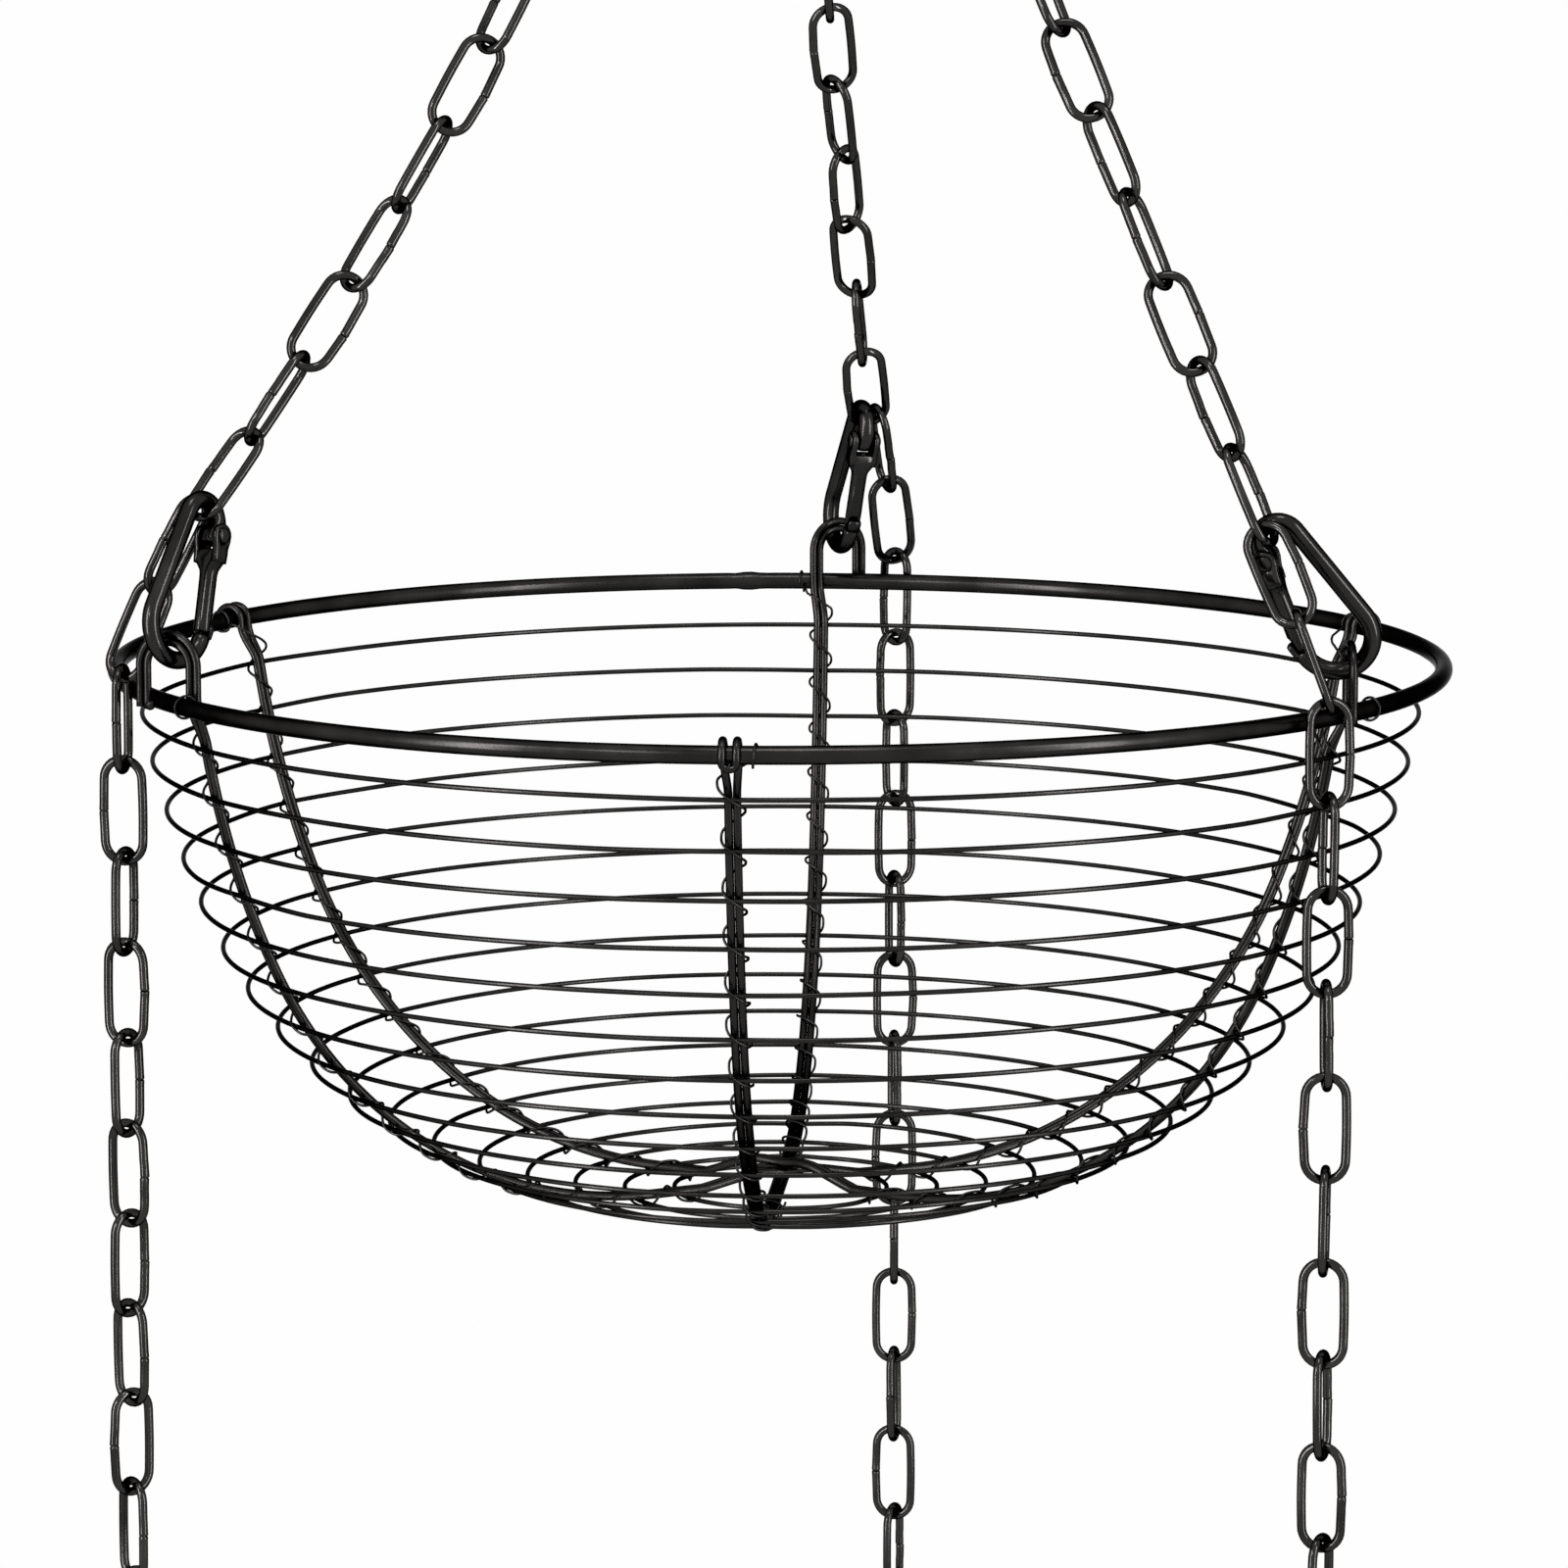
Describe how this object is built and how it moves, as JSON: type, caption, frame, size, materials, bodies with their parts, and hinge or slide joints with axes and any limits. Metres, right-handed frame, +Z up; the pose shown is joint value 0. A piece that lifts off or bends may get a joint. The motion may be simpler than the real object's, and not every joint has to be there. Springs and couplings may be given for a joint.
{
  "type": "hanging fruit basket",
  "caption": "Round open wire fruit basket hung on link chains and snap hooks from a ring and ceiling hook, with more chain and snap hooks below the rim to carry a further basket.",
  "frame": {"origin": "where the screw of the ceiling hook enters the ceiling, in the plane of the ceiling", "axes": "+Z up along the screw; -Y towards the viewer of the picture; +X to the right in it"},
  "size_m": [0.3, 0.3103, 0.656],
  "materials": {
    "bowl_wire": "gloss black paint, slightly uneven",
    "binding_wire": "gloss black paint over wound wire",
    "chain": "hard gloss black paint",
    "snap_hook": "hard gloss black paint",
    "spring": "plain spring steel",
    "ceiling_hook": "bright zinc plate"
  },
  "bodies": {
    "root": {"ceiling_hook": "ceiling_hook"},
    "ring": {"top_ring": "chain"},
    "hanger": {"rim": "bowl_wire", "gate_rivets": "snap_hook", "hoop_01": "bowl_wire", "hoop_02": "bowl_wire", "hoop_03": "bowl_wire", "hoop_04": "bowl_wire", "hoop_05": "bowl_wire", "hoop_06": "bowl_wire", "hoop_07": "bowl_wire", "hoop_08": "bowl_wire", "hoop_09": "bowl_wire", "hoop_10": "bowl_wire", "hoop_11": "bowl_wire", "hoop_12": "bowl_wire", "hoop_13": "bowl_wire", "hoop_14": "bowl_wire", "hoop_15": "bowl_wire", "hoop_16": "bowl_wire", "hoop_17": "bowl_wire", "binding_wire_1": "binding_wire", "binding_wire_2": "binding_wire", "binding_wire_3": "binding_wire", "binding_wire_4": "binding_wire", "binding_wire_5": "binding_wire", "binding_wire_6": "binding_wire", "cross_rod_low": "bowl_wire", "cross_rod_middle": "bowl_wire", "cross_rod_high": "bowl_wire", "upper_chain_left": "chain", "upper_chain_right": "chain", "upper_chain_back": "chain", "snap_hook_left": "snap_hook", "snap_hook_right": "snap_hook", "snap_hook_back": "snap_hook"},
    "gate_left": {"gate_left": "snap_hook", "gate_spring_left": "spring"},
    "gate_right": {"gate_right": "snap_hook", "gate_spring_right": "spring"},
    "gate_back": {"gate_back": "snap_hook", "gate_spring_back": "spring"},
    "leads_left": {"lead_links_left": "chain"},
    "run_left": {"lower_chain_left": "chain"},
    "lower_hook_left": {"lower_hook_left": "snap_hook", "lower_rivet_left": "snap_hook"},
    "lower_gate_left": {"lower_gate_left": "snap_hook", "lower_spring_left": "spring"},
    "leads_right": {"lead_links_right": "chain"},
    "run_right": {"lower_chain_right": "chain"},
    "lower_hook_right": {"lower_hook_right": "snap_hook", "lower_rivet_right": "snap_hook"},
    "lower_gate_right": {"lower_gate_right": "snap_hook", "lower_spring_right": "spring"},
    "leads_back": {"lead_links_back": "chain"},
    "run_back": {"lower_chain_back": "chain"},
    "lower_hook_back": {"lower_hook_back": "snap_hook", "lower_rivet_back": "snap_hook"},
    "lower_gate_back": {"lower_gate_back": "snap_hook", "lower_spring_back": "spring"}
  },
  "joints": [
    {"name": "ring_swing", "type": "hinge", "parent": "root", "child": "ring", "pos_m": [0, 0, -0.03265], "axis": [0, 1, 0], "range_deg": [-60, 60]},
    {"name": "basket_swing", "type": "hinge", "parent": "ring", "child": "hanger", "pos_m": [0, 0, -0.05735], "axis": [1, 0, 0], "range_deg": [-25, 25]},
    {"name": "gate_open_left", "type": "hinge", "parent": "hanger", "child": "gate_left", "pos_m": [-0.11829, -0.06254, -0.30451], "axis": [-0.8187, 0.5653, -0.1008], "range_deg": [0, 25], "stiffness_Nm_per_rad": 0.05, "springref_deg": -17.19},
    {"name": "gate_open_right", "type": "hinge", "parent": "hanger", "child": "gate_right", "pos_m": [0.10831, -0.07926, -0.30557], "axis": [-0.1266, -0.9678, -0.2174], "range_deg": [0, 25], "stiffness_Nm_per_rad": 0.05, "springref_deg": -17.19},
    {"name": "gate_open_back", "type": "hinge", "parent": "hanger", "child": "gate_back", "pos_m": [0.0106, 0.13487, -0.30301], "axis": [0.9222, 0.3814, -0.0637], "range_deg": [0, 25], "stiffness_Nm_per_rad": 0.05, "springref_deg": -17.19},
    {"name": "lead_swing_left", "type": "hinge", "parent": "hanger", "child": "leads_left", "pos_m": [-0.12319, -0.06112, -0.29922], "axis": [-0.7811, 0.5755, 0.2421], "range_deg": [0, 20]},
    {"name": "run_swing_left", "type": "hinge", "parent": "leads_left", "child": "run_left", "pos_m": [-0.13814, -0.0683, -0.33472], "axis": [-0.8365, 0.4946, 0.2361], "range_deg": [0, 30]},
    {"name": "hook_swing_left", "type": "hinge", "parent": "run_left", "child": "lower_hook_left", "pos_m": [-0.13772, -0.06809, -0.59482], "axis": [0.9205, 0.3907, 0], "range_deg": [-30, 30]},
    {"name": "lower_gate_open_left", "type": "hinge", "parent": "lower_hook_left", "child": "lower_gate_left", "pos_m": [-0.13917, -0.06468, -0.59786], "axis": [-0.9205, -0.3907, 0], "range_deg": [0, 25], "stiffness_Nm_per_rad": 0.05, "springref_deg": -17.19},
    {"name": "lead_swing_right", "type": "hinge", "parent": "hanger", "child": "leads_right", "pos_m": [0.10803, -0.0848, -0.30103], "axis": [-0.2683, -0.946, 0.1818], "range_deg": [0, 20]},
    {"name": "run_swing_right", "type": "hinge", "parent": "leads_right", "child": "run_right", "pos_m": [0.12243, -0.09487, -0.33598], "axis": [-0.0466, -0.9698, 0.2392], "range_deg": [0, 30]},
    {"name": "hook_swing_right", "type": "hinge", "parent": "run_right", "child": "lower_hook_right", "pos_m": [0.12204, -0.09459, -0.59608], "axis": [0.7771, -0.6293, 0], "range_deg": [-30, 30]},
    {"name": "lower_gate_open_right", "type": "hinge", "parent": "lower_hook_right", "child": "lower_gate_right", "pos_m": [0.12438, -0.09171, -0.59912], "axis": [-0.7771, 0.6293, 0], "range_deg": [0, 25], "stiffness_Nm_per_rad": 0.05, "springref_deg": -17.19},
    {"name": "lead_swing_back", "type": "hinge", "parent": "hanger", "child": "leads_back", "pos_m": [0.01393, 0.13861, -0.2979], "axis": [0.8916, 0.3628, 0.271], "range_deg": [0, 20]},
    {"name": "run_swing_back", "type": "hinge", "parent": "leads_back", "child": "run_back", "pos_m": [0.01759, 0.1535, -0.33396], "axis": [0.9169, 0.3379, 0.2122], "range_deg": [0, 30]},
    {"name": "hook_swing_back", "type": "hinge", "parent": "run_back", "child": "lower_hook_back", "pos_m": [0.0175, 0.15309, -0.59404], "axis": [-0.3007, -0.9537, 0], "range_deg": [-30, 30]},
    {"name": "lower_gate_open_back", "type": "hinge", "parent": "lower_hook_back", "child": "lower_gate_back", "pos_m": [0.02104, 0.15197, -0.59707], "axis": [0.3007, 0.9537, 0], "range_deg": [0, 25], "stiffness_Nm_per_rad": 0.05, "springref_deg": -17.19}
  ]
}
